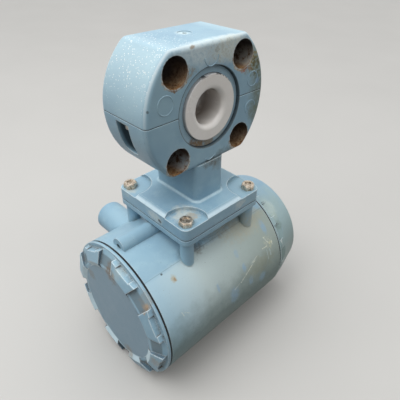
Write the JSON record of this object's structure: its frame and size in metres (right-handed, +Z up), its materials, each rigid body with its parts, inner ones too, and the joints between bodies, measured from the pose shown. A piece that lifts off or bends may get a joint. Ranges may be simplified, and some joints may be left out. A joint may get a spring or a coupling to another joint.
{
  "type": "electromagnetic flow meter",
  "caption": "Wafer-style magnetic flow meter: cast measuring head with a ceramic bore, on a bolted neck above a cylindrical converter housing with screwed end covers.",
  "frame": {"origin": "centre of the measuring bore, midway between the two end faces", "axes": "+X along the flow axis, +Z up from the converter housing to the measuring head, Y along the housing's axis with the lugged cover at -Y"},
  "size_m": [0.1395, 0.1847, 0.2729],
  "materials": {
    "paint": "satin",
    "ceramic": "gloss",
    "rubber": "matte",
    "gasket": "matte",
    "steel": "satin",
    "zinc": "satin",
    "iron": "satin",
    "copper": "satin",
    "black_plastic": "matte",
    "board": "satin"
  },
  "bodies": {
    "meter_body": {"upper_shell": "paint", "lower_body": "paint", "end_ring_inlet": "paint", "end_ring_outlet": "paint", "housing": "paint", "clamp_screws": "steel", "ceramic_liner": "ceramic", "liner_seals": "rubber", "magnet_yoke": "iron", "pole_core_upper": "iron", "pole_core_lower": "iron", "coil_upper": "copper", "coil_lower": "copper", "electrode_front": "steel", "electrode_rear": "steel", "electrode_cap_front": "black_plastic", "electrode_cap_rear": "black_plastic", "lead_bundle": "rubber", "feedthrough_plug": "black_plastic", "flange_gasket": "gasket", "flange_bolts": "zinc", "bulkhead_connector": "black_plastic", "cover_lock_screw": "steel", "terminal_block": "black_plastic", "terminal_screws": "zinc", "ground_screw": "zinc", "board_posts": "zinc", "power_board": "board", "board_spacers": "zinc", "main_board": "board", "board_screws": "zinc", "power_transformer": "black_plastic"},
    "front_seal_ring": {"front_seal": "rubber"},
    "front_cover": {"front_cover": "paint"},
    "rear_seal_ring": {"rear_seal": "rubber"},
    "rear_cover": {"rear_cover": "paint"}
  },
  "joints": [
    {"name": "front_cover_advance", "type": "slide", "parent": "meter_body", "child": "front_seal_ring", "axis": [0, -1, 0], "range_m": [0, 0.0101]},
    {"name": "front_cover_turn", "type": "hinge", "parent": "front_seal_ring", "child": "front_cover", "pos_m": [0, -0.0755, -0.165], "axis": [0, -1, 0], "range_deg": [0, 1800]},
    {"name": "rear_cover_advance", "type": "slide", "parent": "meter_body", "child": "rear_seal_ring", "axis": [0, 1, 0], "range_m": [0, 0.0101]},
    {"name": "rear_cover_turn", "type": "hinge", "parent": "rear_seal_ring", "child": "rear_cover", "pos_m": [0, 0.0595, -0.165], "axis": [0, 1, 0], "range_deg": [0, 1800]}
  ],
  "couplings": [
    {"joint": "front_cover_advance", "follows": "front_cover_turn", "m_per_rad": 0.00031831},
    {"joint": "rear_cover_advance", "follows": "rear_cover_turn", "m_per_rad": 0.00031831}
  ]
}
